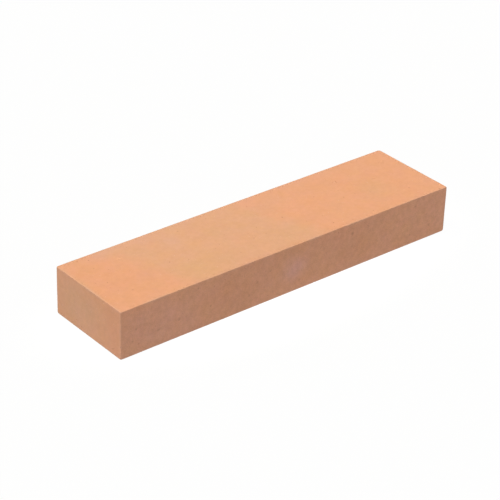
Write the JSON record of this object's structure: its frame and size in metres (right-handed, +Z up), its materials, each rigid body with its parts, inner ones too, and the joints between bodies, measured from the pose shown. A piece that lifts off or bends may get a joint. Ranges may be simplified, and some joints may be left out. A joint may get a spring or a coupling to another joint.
{
  "type": "sharpening whetstone",
  "caption": "Plain rectangular bench whetstone: a block of fine orange-tan bonded abrasive with flat honing faces and lightly eased edges, for sharpening knives and gouges.",
  "frame": {"origin": "middle of the bottom face, which the stone rests on", "axes": "+X along the length, +Y across the width, +Z up through the thickness, towards the honing face in use"},
  "size_m": [0.2032, 0.0508, 0.0254],
  "materials": {
    "bonded_abrasive": "matte, fine open grain"
  },
  "bodies": {
    "root": {"abrasive_stone": "bonded_abrasive"}
  },
  "joints": []
}
